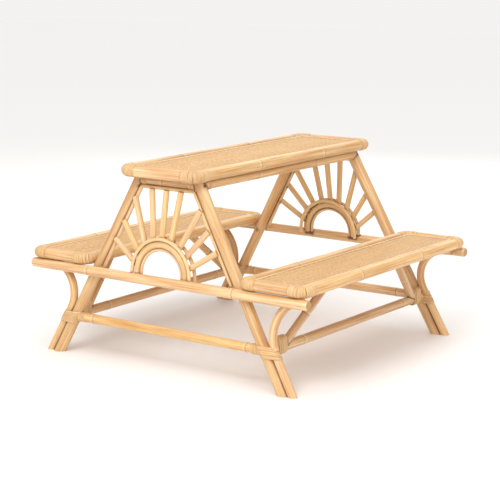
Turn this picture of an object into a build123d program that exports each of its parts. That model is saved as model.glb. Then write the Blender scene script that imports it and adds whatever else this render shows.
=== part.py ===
from build123d import *
import math
import os

# A child's rattan picnic table: a narrow table top and two benches on two leaning end frames.
# X runs along the table, Y across it (the left bench is at +Y), Z up from the floor.
# The origin is on the floor at the middle of the table. All sizes are millimetres.

# ---- Driving dimensions -------------------------------------------------------------------------
TABLE_HEIGHT = 500.0
SEAT_HEIGHT = 264.5
TABLE_HALF_LENGTH = 373.4       # to the centre of the border pole
TABLE_HALF_WIDTH = 106.5
BENCH_HALF_LENGTH = 367.0
BENCH_INNER_Y = 240.5           # centre of the border pole nearest the table
BENCH_OUTER_Y = 405.5
TABLE_POLE = 28.0               # border pole diameters
BENCH_POLE = 27.0
CORNER_RADIUS = 17.0            # centre-line bend of the border at each corner

BOARD_THICKNESS = 17.0
BOARD_DEPTH = 9.0               # top of the backing board below the top of the border
WEAVE_THICKNESS = 3.6
TRIM_WIDTH = 12.0
TRIM_THICKNESS = 5.0
TRIM_INSET = 13.3               # trim edge inside the border's centre line
WRAP_THICKNESS = 1.2            # peel wound round a corner or a joint
CORNER_WRAP_RUN = 16.0          # straight run of a corner wrap on each side of the bend

LEG = 28.0
LEG_FOOT_X = 357.1              # leg centre at the floor
LEG_FOOT_Y = 344.8
LEG_SPLAY = math.degrees(math.atan(0.549))
END_LEAN = 2.8                  # both end frames lean inwards at the top, degrees

SEAT_BAR = 24.5
SEAT_BAR_HALF = 418.0
LOWER_BAR = 23.0
LOWER_BAR_HEIGHT = 97.5
TOP_BAR = 22.0
TOP_BAR_HEIGHT = 461.0
STRETCHER = 23.0
STRETCHER_Y = 303.0
RAIL = 24.0
RAIL_Y = 95.0

BRACKET = 20.0
BRACKET_GAP = 0.2               # between a leg and its bracket
BRACKET_BENDS = (75.0, 95.0)    # left and right bends, as seen from outside the end
BRACKET_END_Y = 392.0
BRACE = 20.0
BRACE_FOOT_X = 303.0
BRACE_REACH = 157.0             # how far a brace runs inwards along the table
BRACE_SPREAD = 34.0             # how far it runs outwards under the bench

ARCH_SHIFT = 6.5                # each arch sits a little to the left, seen from outside
ARCH_BASE = 238.0
FAN_PLANE = -11.0               # rays lie this far outside the leg plane
ARCH_PLANE = -14.0
ARCH_MIDDLE_RADIUS = 74.0
ARCH_MIDDLE = 17.0
ARCH_INNER_RADIUS = 61.0
ARCH_INNER = 8.0
ARCH_OUTER_RADIUS = 87.5
ARCH_OUTER = 9.0
REAR_ARCH_FOOT = 230.0
RAY = 14.5
RAY_COUNT = 9
SIDE_RAYS = 3                   # rays that land on each leg; the rest land under the top bar
RAY_FIRST_ANGLE = 11.0
RAY_LAST_ANGLE = 163.0
SIDE_RAY_LOW = 311.0
SIDE_RAY_STEP = 47.5
LEFT_RAY_LIFT = 14.0            # the left leg's topmost ray reaches this much higher
TOP_RAY_SPACING = 44.0
RAY_TOP = 445.0
FAN_CLEARANCE = 0.3
TRIM_ROD = 8.0
TRIM_ROD_PLANE = -6.0

BINDING_LOW = 84.0
BINDING_RUN = 27.0
TIE_RUN = 30.0                  # peel tie round a stretcher's end and the foot of its brace
TIE_DROP = 17.0
TIE_RISE = 30.0
SCREW_SHANK = 4.0
SCREW_HEAD = 8.0
SCREW_HEAD_DEPTH = 3.0

# ---- Worked out from the above ------------------------------------------------------------------
SPLAY_COS = math.cos(math.radians(LEG_SPLAY))
SPLAY_SIN = math.sin(math.radians(LEG_SPLAY))
SPLAY_TAN = math.tan(math.radians(LEG_SPLAY))
BENCH_BOARD_LOW = SEAT_HEIGHT - BOARD_DEPTH - BOARD_THICKNESS
TABLE_BOARD_LOW = TABLE_HEIGHT - BOARD_DEPTH - BOARD_THICKNESS
LEAN_COS = math.cos(math.radians(END_LEAN))
LEAN_SIN = math.sin(math.radians(END_LEAN))
SEAT_BAR_PLANE = -(LEG + SEAT_BAR) / 2
SEAT_BAR_LEVEL = SEAT_HEIGHT - BENCH_POLE - WRAP_THICKNESS - SEAT_BAR / 2   # the benches rest on it
SEAT_BAR_HEIGHT = (SEAT_BAR_LEVEL + SEAT_BAR_PLANE * LEAN_SIN) / LEAN_COS    # measured along the frame
RAIL_HEIGHT = TABLE_BOARD_LOW - RAIL / 2
BRACKET_TOP = BENCH_BOARD_LOW - BRACKET / 2
BRACKET_OFFSET = (LEG + BRACKET) / 2 + BRACKET_GAP
BIG = 1200.0                    # larger than the whole table, for trimming


# ---- Helpers ------------------------------------------------------------------------------------
def pole(start, finish, diameter):
    """A straight round pole between two points."""
    axis = Vector(*finish) - Vector(*start)
    return Solid.make_cylinder(diameter / 2, axis.length, Plane(origin=start, z_dir=axis))


def bent_pole(path, diameter):
    """A round pole that follows a path of lines and tangent arcs."""
    section = Plane(origin=path @ 0, z_dir=path % 0) * Circle(diameter / 2)
    return sweep(section, path=path).solid()


def cut(piece, *tools):
    """The piece with every tool taken out of it; offcuts are dropped."""
    for tool in tools:
        piece = max((piece - tool).solids(), key=lambda solid: solid.volume)
    return piece


def half_space(low, high):
    """A block that fills everything between two heights."""
    return Pos(0, 0, (low + high) / 2) * Box(BIG, BIG, high - low)


def leg_y(height):
    """Distance of a leg's centre from the middle of the end frame, at a height along the frame."""
    return LEG_FOOT_Y - SPLAY_TAN * height


def leg_x(height):
    """Distance of a leg's centre from the middle of the table, at a height."""
    return LEG_FOOT_X - height * LEAN_SIN / LEAN_COS


def place_end(shape, end):
    """Leans a front-end shape inwards and sets it at the front or, turned round, at the back."""
    leaned = Pos(-LEG_FOOT_X, 0, 0) * Rot(0, END_LEAN, 0) * shape
    return leaned if end == "front" else Rot(0, 0, 180) * leaned


def save(node, *solids):
    """Writes one node, as one solid or as a group of separate solids."""
    shape = solids[0] if len(solids) == 1 else Compound(list(solids))
    export_step(shape, f"parts/{node}.step")


# ---- End frame, drawn upright in the YZ plane with the outside towards -X ------------------------
def leg(side):
    foot = (0, side * leg_y(-20), -20)
    top = (0, side * leg_y(TABLE_HEIGHT), TABLE_HEIGHT)
    return pole(foot, top, LEG)


def bracket(side, bend):
    """Runs up the outside of a leg, then bends out under the bench."""
    centre_z = BRACKET_TOP - bend
    start_z = -20
    bend_z = centre_z - bend * SPLAY_SIN
    lead = BRACKET_OFFSET / SPLAY_COS
    start = (leg_y(start_z) + lead, start_z)
    bend_start = (leg_y(bend_z) + lead, bend_z)
    centre_y = bend_start[0] + bend * SPLAY_COS
    end_y = min(centre_y, BRACKET_END_Y)
    end_angle = math.degrees(math.acos((end_y - centre_y) / bend))
    start_angle = 180 + LEG_SPLAY
    path = Line(start, bend_start) + CenterArc((centre_y, centre_z), bend, start_angle, end_angle - start_angle)
    if end_y < BRACKET_END_Y:
        path += Line((end_y, BRACKET_TOP), (BRACKET_END_Y, BRACKET_TOP))
    bent = bent_pole(path, BRACKET)
    upright = Plane.YZ * bent
    return upright if side > 0 else mirror(upright, about=Plane.XZ)


def arch(plane_x, radius, diameter, foot_z):
    """A half-round bent rod standing on two straight feet."""
    left = ARCH_SHIFT + radius
    right = ARCH_SHIFT - radius
    path = Line((left, foot_z), (left, ARCH_BASE))
    path += CenterArc((ARCH_SHIFT, ARCH_BASE), radius, 0, 180)
    path += Line((right, ARCH_BASE), (right, foot_z))
    return Pos(plane_x, 0, 0) * (Plane.YZ * bent_pole(path, diameter))


def ray_end(index):
    """Where the outer end of a ray lands: on the left leg, under the top bar or on the right leg."""
    last = RAY_COUNT - 1
    if index < SIDE_RAYS:
        lift = LEFT_RAY_LIFT if index == SIDE_RAYS - 1 else 0
        height = SIDE_RAY_LOW + index * SIDE_RAY_STEP + lift
        return (leg_y(height) - LEG / 2, height)
    if index > last - SIDE_RAYS:
        height = SIDE_RAY_LOW + (last - index) * SIDE_RAY_STEP
        return (LEG / 2 - leg_y(height), height)
    return ((last / 2 - index) * TOP_RAY_SPACING, RAY_TOP)


def ray(index):
    """One straight ray of the fan, from the middle arch outwards."""
    angle = RAY_FIRST_ANGLE + (RAY_LAST_ANGLE - RAY_FIRST_ANGLE) * index / (RAY_COUNT - 1)
    inner = ARCH_MIDDLE_RADIUS
    root_y = ARCH_SHIFT + inner * math.cos(math.radians(angle))
    root_z = ARCH_BASE + inner * math.sin(math.radians(angle))
    tip_y, tip_z = ray_end(index)
    return pole((FAN_PLANE, root_y, root_z), (FAN_PLANE, tip_y, tip_z), RAY)


def fan_limits():
    """Blocks that trim the rays: the arch's core, a slab along each leg's trim and one under the top trim."""
    core_radius = ARCH_MIDDLE_RADIUS + ARCH_MIDDLE / 2 + FAN_CLEARANCE
    core_plane = Plane(origin=(4 * FAN_PLANE, ARCH_SHIFT, ARCH_BASE), z_dir=(1, 0, 0))
    blocks = [Solid.make_cylinder(core_radius, -8 * FAN_PLANE, core_plane)]
    blocks.append(half_space(RAY_TOP - TRIM_ROD / 2, RAY_TOP + BIG))
    reach = LEG / 2 + TRIM_ROD + FAN_CLEARANCE
    for side in (1, -1):
        along_leg = Plane(
            origin=(0, side * leg_y(ARCH_BASE), ARCH_BASE),
            x_dir=(0, side * SPLAY_COS, SPLAY_SIN),
            z_dir=(0, -side * SPLAY_SIN, SPLAY_COS),
        )
        blocks.append(along_leg * Pos(BIG / 2 - reach, 0, 0) * Box(BIG, BIG, BIG))
    return blocks


def leg_trim(side):
    """A thin rod against the inner side of a leg, from the seat bar to the top bar."""
    reach = (LEG + TRIM_ROD) / 2
    inset = math.sqrt(reach**2 - TRIM_ROD_PLANE**2) / SPLAY_COS
    low = SEAT_BAR_HEIGHT + SEAT_BAR / 2
    high = TOP_BAR_HEIGHT - TOP_BAR / 2 - TRIM_ROD
    start = (TRIM_ROD_PLANE, side * (leg_y(low) - inset), low)
    finish = (TRIM_ROD_PLANE, side * (leg_y(high) - inset), high)
    return pole(start, finish, TRIM_ROD)


def top_trim():
    height = TOP_BAR_HEIGHT - (TOP_BAR + TRIM_ROD) / 2
    half = leg_y(height)
    return pole((TRIM_ROD_PLANE, -half, height), (TRIM_ROD_PLANE, half, height), TRIM_ROD)


def leg_binding(side):
    """A peel sleeve round a leg and its bracket, square to the leg."""
    leg_radius = LEG / 2 + WRAP_THICKNESS
    bracket_radius = BRACKET / 2 + WRAP_THICKNESS
    around = make_hull(
        (Circle(leg_radius) + Pos(BRACKET_OFFSET, 0) * Circle(bracket_radius)).edges()
    )
    base = Plane(
        origin=(0, side * leg_y(BINDING_LOW), BINDING_LOW),
        x_dir=(0, side * SPLAY_COS, SPLAY_SIN),
        z_dir=(0, -side * SPLAY_SIN, SPLAY_COS),
    )
    return extrude(base * around, amount=BINDING_RUN).solid()


def top_binding(side):
    """A peel sleeve round each end of the top bar."""
    start = leg_y(TOP_BAR_HEIGHT) - LEG / 2 / SPLAY_COS
    run = 11.0
    diameter = TOP_BAR + 2 * WRAP_THICKNESS
    return pole((0, side * start, TOP_BAR_HEIGHT), (0, side * (start - run), TOP_BAR_HEIGHT), diameter)


def screw(start, direction, length):
    """A round-headed screw: the head lies at the start, the shank runs along the direction."""
    way = Vector(*direction).normalized()
    begin = Vector(*start)
    head_end = begin + way * SCREW_HEAD_DEPTH
    tip = begin + way * length
    head = pole(tuple(begin), tuple(head_end), SCREW_HEAD)
    return (head + pole(tuple(head_end), tuple(tip), SCREW_SHANK)).solid()


def end_screws():
    """Two screws hold the seat bar from inside the legs; two hold the top bar's ends."""
    screws = []
    for side in (1, -1):
        low_start = (LEG / 2 - 1, side * leg_y(SEAT_BAR_HEIGHT), SEAT_BAR_HEIGHT)
        screws.append(screw(low_start, (-1, 0, 0), LEG + 8))
        reach = LEG / 2 / SPLAY_COS - 1
        top_start = (0, side * (leg_y(TOP_BAR_HEIGHT) + reach), TOP_BAR_HEIGHT)
        screws.append(screw(top_start, (0, -side, 0), LEG + 18))
    return screws


def end_pieces():
    """Every piece of one end frame, fitted together, as node name and list of solids."""
    legs = {side: leg(side) for side in (1, -1)}
    brackets = {side: bracket(side, bend) for side, bend in zip((1, -1), BRACKET_BENDS)}
    seat_bar = pole(
        (SEAT_BAR_PLANE, -SEAT_BAR_HALF, SEAT_BAR_HEIGHT), (SEAT_BAR_PLANE, SEAT_BAR_HALF, SEAT_BAR_HEIGHT), SEAT_BAR
    )
    lower_half = leg_y(LOWER_BAR_HEIGHT)
    lower_bar = cut(
        pole((0, -lower_half, LOWER_BAR_HEIGHT), (0, lower_half, LOWER_BAR_HEIGHT), LOWER_BAR), *legs.values()
    )
    top_half = leg_y(TOP_BAR_HEIGHT)
    top_bar = cut(pole((0, -top_half, TOP_BAR_HEIGHT), (0, top_half, TOP_BAR_HEIGHT), TOP_BAR), *legs.values())

    trims = [cut(leg_trim(side), seat_bar) for side in (1, -1)]
    trims.append(cut(top_trim(), *legs.values(), *trims))

    foot = SEAT_BAR_HEIGHT
    middle = cut(arch(ARCH_PLANE, ARCH_MIDDLE_RADIUS, ARCH_MIDDLE, foot), seat_bar)
    inner = cut(arch(ARCH_PLANE, ARCH_INNER_RADIUS, ARCH_INNER, foot), seat_bar)
    gap = (RAY + ARCH_OUTER) / 2
    front_thin = cut(arch(FAN_PLANE - gap, ARCH_OUTER_RADIUS, ARCH_OUTER, foot), seat_bar)
    rear_thin = arch(FAN_PLANE + gap, ARCH_OUTER_RADIUS, ARCH_OUTER, REAR_ARCH_FOOT)
    rays = [cut(ray(index), *fan_limits()) for index in range(RAY_COUNT)]

    bindings = [cut(leg_binding(side), legs[side], brackets[side], lower_bar) for side in (1, -1)]
    bindings += [cut(top_binding(side), top_bar, *legs.values(), *trims) for side in (1, -1)]

    screws = end_screws()
    for side in (1, -1):
        legs[side] = cut(legs[side], *screws)
    return {
        "leg_left": [legs[1]],
        "leg_right": [legs[-1]],
        "bracket_left": [brackets[1]],
        "bracket_right": [brackets[-1]],
        "seat_bar": [cut(seat_bar, *screws)],
        "lower_bar": [lower_bar],
        "top_bar": [cut(top_bar, *screws)],
        "fan_trim": trims,
        "arch_outer": [front_thin, rear_thin],
        "arch_middle": [middle],
        "arch_inner": [inner],
        "rays": rays,
        "bindings": bindings,
        "screws": screws,
    }


# ---- Table top and benches ------------------------------------------------------------------------
def border_side(half_run, half_cross, diameter):
    """One border pole along X at y = half_cross, bent to half of the corner at each end."""
    turn_x = half_run - CORNER_RADIUS
    turn_y = half_cross - CORNER_RADIUS
    path = CenterArc((-turn_x, turn_y), CORNER_RADIUS, 135, -45)
    path += Line((-turn_x, half_cross), (turn_x, half_cross))
    path += CenterArc((turn_x, turn_y), CORNER_RADIUS, 90, -45)
    return bent_pole(path, diameter)


def corner_wrap(half_run, half_cross, diameter):
    """A wound peel skin round the bend at the corner x = half_run, y = half_cross."""
    turn_x = half_run - CORNER_RADIUS
    turn_y = half_cross - CORNER_RADIUS
    path = Line((turn_x - CORNER_WRAP_RUN, half_cross), (turn_x, half_cross))
    path += CenterArc((turn_x, turn_y), CORNER_RADIUS, 90, -90)
    path += Line((half_run, turn_y), (half_run, turn_y - CORNER_WRAP_RUN))
    skin = bent_pole(path, diameter + 2 * WRAP_THICKNESS)
    return cut(skin, bent_pole(path, diameter))


def panel(half_length, half_width, diameter, centre_y, top):
    """A bordered panel: four border poles, a backing board, a woven field, its trim and corner wraps."""
    centre = Pos(0, centre_y, top - diameter / 2)
    long_side = border_side(half_length, half_width, diameter)
    short_side = border_side(half_width, half_length, diameter)
    borders = {
        "border_left": centre * long_side,
        "border_right": centre * Rot(0, 0, 180) * long_side,
        "border_front": centre * Rot(0, 0, 90) * short_side,
        "border_back": centre * Rot(0, 0, -90) * short_side,
    }
    board_top = top - BOARD_DEPTH
    board = Pos(0, centre_y, board_top - BOARD_THICKNESS / 2) * Box(
        2 * (half_length - diameter / 4), 2 * (half_width - diameter / 4), BOARD_THICKNESS
    )
    trim_length = half_length - TRIM_INSET
    trim_width = half_width - TRIM_INSET
    field_length = trim_length - TRIM_WIDTH
    field_width = trim_width - TRIM_WIDTH
    trim_outer = Pos(0, centre_y, board_top + TRIM_THICKNESS / 2) * Box(
        2 * trim_length, 2 * trim_width, TRIM_THICKNESS
    )
    trim_hole = Pos(0, centre_y, board_top + TRIM_THICKNESS / 2) * Box(
        2 * field_length, 2 * field_width, 2 * TRIM_THICKNESS
    )
    weave = Pos(0, centre_y, board_top + WEAVE_THICKNESS / 2) * Box(
        2 * field_length, 2 * field_width, WEAVE_THICKNESS
    )
    near = corner_wrap(half_length, half_width, diameter)
    far = mirror(near, about=Plane.YZ)
    wraps = [centre * turn * wrap for wrap in (near, far) for turn in (Rot(0, 0, 0), Rot(0, 0, 180))]
    pieces = {name: [side] for name, side in borders.items()}
    pieces["board"] = [cut(board, *borders.values(), *wraps)]
    pieces["trim"] = [cut(trim_outer, trim_hole, *borders.values(), *wraps)]
    pieces["weave"] = [weave.solid()]
    pieces["corner_wraps"] = wraps
    return pieces


# ---- Pieces that join the two ends ---------------------------------------------------------------
def brace(end_x, side):
    """A slanting pole from the end of a stretcher up to the underside of a bench."""
    rise = BENCH_BOARD_LOW - LOWER_BAR_HEIGHT
    foot = (end_x * BRACE_FOOT_X, side * STRETCHER_Y, LOWER_BAR_HEIGHT)
    over = 1.2                  # run past the board, then trimmed to it
    head = (
        end_x * (BRACE_FOOT_X - over * BRACE_REACH),
        side * (STRETCHER_Y + over * BRACE_SPREAD),
        LOWER_BAR_HEIGHT + over * rise,
    )
    return cut(pole(foot, head, BRACE), half_space(BENCH_BOARD_LOW, BENCH_BOARD_LOW + BIG))


def stretcher_tie(end_x, side):
    """A flat peel tie, taller than wide, round a stretcher's end and the foot of its brace."""
    width = STRETCHER + 2 * WRAP_THICKNESS
    height = TIE_DROP + TIE_RISE
    outer_x = BRACE_FOOT_X + 0.75 * TIE_RUN
    section = SlotOverall(height, width, rotation=90)
    middle_z = LOWER_BAR_HEIGHT + (TIE_RISE - TIE_DROP) / 2
    start = Plane(origin=(end_x * outer_x, side * STRETCHER_Y, middle_z), x_dir=(0, 1, 0), z_dir=(-end_x, 0, 0))
    return extrude(start * section, amount=TIE_RUN).solid()


# ---- Build ------------------------------------------------------------------------------------------
os.makedirs("parts", exist_ok=True)

table = panel(TABLE_HALF_LENGTH, TABLE_HALF_WIDTH, TABLE_POLE, 0, TABLE_HEIGHT)
bench_half_width = (BENCH_OUTER_Y - BENCH_INNER_Y) / 2
bench_centre = (BENCH_OUTER_Y + BENCH_INNER_Y) / 2
benches = {
    name: panel(BENCH_HALF_LENGTH, bench_half_width, BENCH_POLE, side * bench_centre, SEAT_HEIGHT)
    for name, side in (("left", 1), ("right", -1))
}
for name, solids in table.items():
    save(f"table_{name}", *solids)
for bench_name, pieces in benches.items():
    for name, solids in pieces.items():
        save(f"bench_{bench_name}_{name}", *solids)

below_floor = half_space(-BIG, 0)
above_legs = half_space(TABLE_BOARD_LOW, TABLE_BOARD_LOW + BIG)
table_edges = [*table["border_left"], *table["border_right"], *table["corner_wraps"]]
frame = end_pieces()
legs_and_brackets = []
all_screws = []
for end in ("front", "back"):
    placed = {name: [place_end(solid, end) for solid in solids] for name, solids in frame.items()}
    for name in ("leg_left", "leg_right"):
        placed[name] = [cut(placed[name][0], below_floor, above_legs, *table_edges)]
    for name in ("bracket_left", "bracket_right"):
        placed[name] = [cut(placed[name][0], below_floor)]
    for name in ("leg_left", "leg_right", "bracket_left", "bracket_right", "bindings"):
        legs_and_brackets += placed[name]
    all_screws += placed.pop("screws")
    for name, solids in placed.items():
        save(f"{end}_{name}", *solids)
save("frame_screws", *all_screws)

ties = []
stretcher_x = leg_x(LOWER_BAR_HEIGHT)
rail_x = leg_x(RAIL_HEIGHT)
for side, name in ((1, "left"), (-1, "right")):
    stretcher_y = side * STRETCHER_Y
    stretcher = cut(
        pole((-stretcher_x, stretcher_y, LOWER_BAR_HEIGHT), (stretcher_x, stretcher_y, LOWER_BAR_HEIGHT), STRETCHER),
        *legs_and_brackets,
    )
    save(f"stretcher_{name}", stretcher)
    rail = pole((-rail_x, side * RAIL_Y, RAIL_HEIGHT), (rail_x, side * RAIL_Y, RAIL_HEIGHT), RAIL)
    save(f"top_rail_{name}", cut(rail, *legs_and_brackets, *all_screws))
    for end_x, end in ((-1, "front"), (1, "back")):
        strut = cut(brace(end_x, side), stretcher)
        save(f"brace_{end}_{name}", strut)
        ties.append(cut(stretcher_tie(end_x, side), stretcher, strut, *legs_and_brackets))
save("stretcher_ties", *ties)
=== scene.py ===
# %% [markdown]
# # A child's rattan picnic table
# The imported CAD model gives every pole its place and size. This script dresses that frame: it grows
# real cane poles along the same lines, winds peel round the joints, weaves the seats and gives each
# surface its finish. Everything is in metres, in the frame's own axes: X along the table, Y across it
# (the left bench at +Y), Z up from the floor.

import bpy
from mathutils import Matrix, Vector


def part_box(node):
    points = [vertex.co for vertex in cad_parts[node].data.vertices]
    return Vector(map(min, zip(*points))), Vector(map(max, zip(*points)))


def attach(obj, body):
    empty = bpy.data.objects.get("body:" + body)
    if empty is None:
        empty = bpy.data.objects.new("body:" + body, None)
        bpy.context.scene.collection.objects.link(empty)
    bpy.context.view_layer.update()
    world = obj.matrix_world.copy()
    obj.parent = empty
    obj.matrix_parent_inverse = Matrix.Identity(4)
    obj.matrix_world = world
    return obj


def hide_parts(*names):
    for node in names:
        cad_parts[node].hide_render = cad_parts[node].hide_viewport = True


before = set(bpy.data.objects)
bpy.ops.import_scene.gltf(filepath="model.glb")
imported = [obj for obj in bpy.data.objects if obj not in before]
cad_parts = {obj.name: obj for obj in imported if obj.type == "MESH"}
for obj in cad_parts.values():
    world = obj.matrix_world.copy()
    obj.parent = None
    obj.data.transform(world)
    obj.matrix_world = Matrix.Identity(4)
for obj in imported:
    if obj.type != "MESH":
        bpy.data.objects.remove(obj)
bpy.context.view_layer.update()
print("nodes in the frame:", len(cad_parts))

import math

import bmesh
import bpy
from mathutils import Matrix, Vector
from mathutils.bvhtree import BVHTree

# %% [markdown]
# ## Driving sizes
# Heights and panel edges are read back from the frame. The pole sizes and the lines that the poles
# follow are named here, and everything else hangs on them.

# %% Sizes
LEG = 0.028
BRACKET = 0.020
BRACE = 0.020
BAR = 0.023
SEAT_BAR = 0.0245
TOP_BAR = 0.022
RAIL = 0.024
TABLE_POLE = 0.028
BENCH_POLE = 0.027
CORNER_RADIUS = 0.017
CORNER_RUN = 0.016
LEG_FOOT_X = 0.3571
LEG_FOOT_Y = 0.3448
SPLAY = math.atan(0.549)
LEAN = math.radians(2.8)
STRETCHER_Y = 0.303
RAIL_Y = 0.095
BRACKET_BENDS = (0.075, 0.095)
BRACKET_END_Y = 0.392
BRACKET_GAP = 0.0002
BRACE_FOOT_X = 0.303
BRACE_REACH = 0.157
BRACE_SPREAD = 0.034
ARCH_SHIFT = 0.0065
ARCH_BASE = 0.238
ARCH_PLANE = -0.016
FAN_PLANE = -0.011
MIDDLE_RADIUS, MIDDLE_ROD = 0.074, 0.017
INNER_RADIUS, INNER_ROD = 0.0618, 0.008
OUTER_RADIUS, OUTER_ROD = 0.0875, 0.009
RAY = 0.0145
TRIM_ROD = 0.0095
TRIM_ROD_PLANE = -0.006
STRIP_WIDTH = 0.012
STRIP_INSET = 0.0133


def middle_height(node):
    """Height of the middle of a node's box."""
    low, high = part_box(node)
    return (low[2] + high[2]) / 2


table_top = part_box("table_border_left")[1][2]
seat_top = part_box("bench_left_border_left")[1][2]
table_board_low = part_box("table_board")[0][2]
bench_board_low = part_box("bench_left_board")[0][2]
lower_bar_height = middle_height("stretcher_left")
rail_height = table_board_low - RAIL / 2
seat_bar_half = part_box("front_seat_bar")[1][1]
seat_bar_plane = -(LEG + SEAT_BAR) / 2
top_bar_level = middle_height("front_top_bar")
seat_bar_level = middle_height("front_seat_bar")
print(f"table {table_top:.3f} m high, seats {seat_top:.3f} m")

# %% [markdown]
# ## Camera, light and floor
# A long lens a few metres away keeps the long sides almost parallel. The main light is a wide soft
# source high on the camera's left, a broad sun and two weak lamps fill in round it, and the room is
# white, so shadows stay pale and warm light bounces between the poles.

# %% Camera
scene = bpy.context.scene


def in_scene(name, data):
    """A new object, put in the scene."""
    thing = bpy.data.objects.new(name, data)
    scene.collection.objects.link(thing)
    return thing


camera_data = bpy.data.cameras.new("camera")
camera_data.lens = 112.88
camera_data.sensor_width = 36
camera = in_scene("camera", camera_data)
camera.location = (-3.207, -2.3122, 1.032)
YAW, PITCH = 0.626, -0.197
level_part = math.cos(PITCH)
looking = Vector((level_part * math.cos(YAW), level_part * math.sin(YAW), math.sin(PITCH)))
camera.rotation_euler = looking.to_track_quat("-Z", "Y").to_euler()
scene.camera = camera


# %% Lights and floor
scene.view_settings.view_transform = "Standard"


def lamp(name, kind, power, colour):
    """A new lamp: its settings and its object."""
    data = bpy.data.lights.new(name, kind)
    data.energy = power
    data.color = colour
    return data, in_scene(name, data)


def area_light(name, place, target, size, power, colour):
    """A square soft light at a place, aimed at a target."""
    data, light = lamp(name, "AREA", power, colour)
    data.size = size
    light.location = place
    light.rotation_euler = (Vector(target) - Vector(place)).to_track_quat("-Z", "Y").to_euler()


MIDDLE = (0, 0, 0.25)
area_light("key_light", (-2.6, -0.6, 2.4), MIDDLE, 1.3, 40, (1.0, 0.975, 0.95))
overhead, overhead_object = lamp("overhead_light", "SUN", 1.25, (1.0, 0.99, 0.98))
overhead.angle = math.radians(70)
overhead_object.rotation_euler = (math.radians(8), math.radians(-12), 0)
area_light("fill_light", (-1.6, -2.6, 1.2), MIDDLE, 2.2, 18, (1.0, 0.98, 0.96))
area_light("back_light", (2.6, 1.2, 1.8), MIDDLE, 1.8, 16, (1.0, 0.98, 0.95))

ROOM_LIGHT, BACKDROP = 0.6, 0.9
world = bpy.data.worlds.new("white_room")
scene.world = world
world.use_nodes = True
room = world.node_tree
background = room.nodes["Background"].inputs
background["Color"].default_value = (1.0, 0.99, 0.98, 1)
seen = room.nodes.new("ShaderNodeLightPath")
level = room.nodes.new("ShaderNodeMapRange")
level.inputs["To Min"].default_value = ROOM_LIGHT
level.inputs["To Max"].default_value = BACKDROP
room.links.new(seen.outputs["Is Camera Ray"], level.inputs["Value"])
room.links.new(level.outputs[0], background["Strength"])

FLOOR_HALF = 12.0
floor_mesh = bpy.data.meshes.new("floor")
floor_corners = [(FLOOR_HALF * x, FLOOR_HALF * y, 0) for x, y in ((-1, -1), (1, -1), (1, 1), (-1, 1))]
floor_mesh.from_pydata(floor_corners, [], [(0, 1, 2, 3)])
floor = in_scene("floor", floor_mesh)
floor_paint = bpy.data.materials.new("floor_paint")
floor_paint.use_nodes = True
paint = floor_paint.node_tree.nodes["Principled BSDF"].inputs
paint["Base Color"].default_value = (0.93, 0.92, 0.91, 1)
paint["Roughness"].default_value = 0.9
floor_mesh.materials.append(floor_paint)


# %% [markdown]
# ## A short way to write node trees
# Shader and geometry trees are the same kind of thing: nodes and wires. This small helper adds a node,
# sets its options and plugs in its inputs, so a tree reads nearly like a formula.

# %% Helper for node trees
class Wires:
    """Adds nodes to a tree. An input is a plain value or another node's output socket."""

    def __init__(self, tree):
        self.tree = tree

    def put(self, socket, value):
        if isinstance(value, bpy.types.NodeSocket):
            self.tree.links.new(value, socket)
        else:
            socket.default_value = value

    def add(self, kind, inputs=None, **options):
        node = self.tree.nodes.new(kind)
        for option, value in options.items():
            setattr(node, option, value)
        for key, value in (inputs or {}).items():
            self.put(node.inputs[key], value)
        return node

    def get(self, kind, inputs=None, **options):
        """The first output of a new node."""
        return self.add(kind, inputs, **options).outputs[0]

    def math(self, operation, *values, clamp=False):
        inputs = dict(enumerate(values))
        return self.get("ShaderNodeMath", inputs, operation=operation, use_clamp=clamp)

    def times(self, first, second, clamp=False):
        return self.math("MULTIPLY", first, second, clamp=clamp)

    def plus(self, first, second):
        return self.math("ADD", first, second)

    def minus(self, first, second):
        return self.math("SUBTRACT", first, second)

    def ramp(self, value, start, steepness):
        """Nothing up to the start, then a slope that stops at one."""
        return self.times(self.minus(value, start), steepness, clamp=True)

    def vector(self, x, y, z):
        return self.get("ShaderNodeCombineXYZ", {0: x, 1: y, 2: z})

    def split(self, vector):
        return self.add("ShaderNodeSeparateXYZ", {0: vector}).outputs

    def noise(self, vector, scale, detail=2.0, roughness=0.5):
        inputs = {"Vector": vector, "Scale": scale, "Detail": detail, "Roughness": roughness}
        return self.get("ShaderNodeTexNoise", inputs)

    def bell(self, distance, width):
        """One at distance zero, falling smoothly to nothing a few widths away."""
        ratio = self.math("DIVIDE", distance, width)
        return self.math("EXPONENT", self.times(self.times(ratio, ratio), -1.0))

    def random(self, low, high, identity, seed):
        inputs = {2: low, 3: high, 7: identity, 8: seed}
        return self.add("FunctionNodeRandomValue", inputs, data_type="FLOAT").outputs[1]

    def store(self, geometry, name, value, domain="POINT", data_type="FLOAT"):
        inputs = {"Geometry": geometry, "Name": name, "Value": value}
        return self.get("GeometryNodeStoreNamedAttribute", inputs, domain=domain, data_type=data_type)

    def colour_mix(self, amount, first, second):
        return self.add("ShaderNodeMix", {0: amount, 6: first, 7: second}, data_type="RGBA").outputs[2]


SOCKET_KINDS = {float: "Float", int: "Int", tuple: "Vector", type(None): "Material"}


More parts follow.
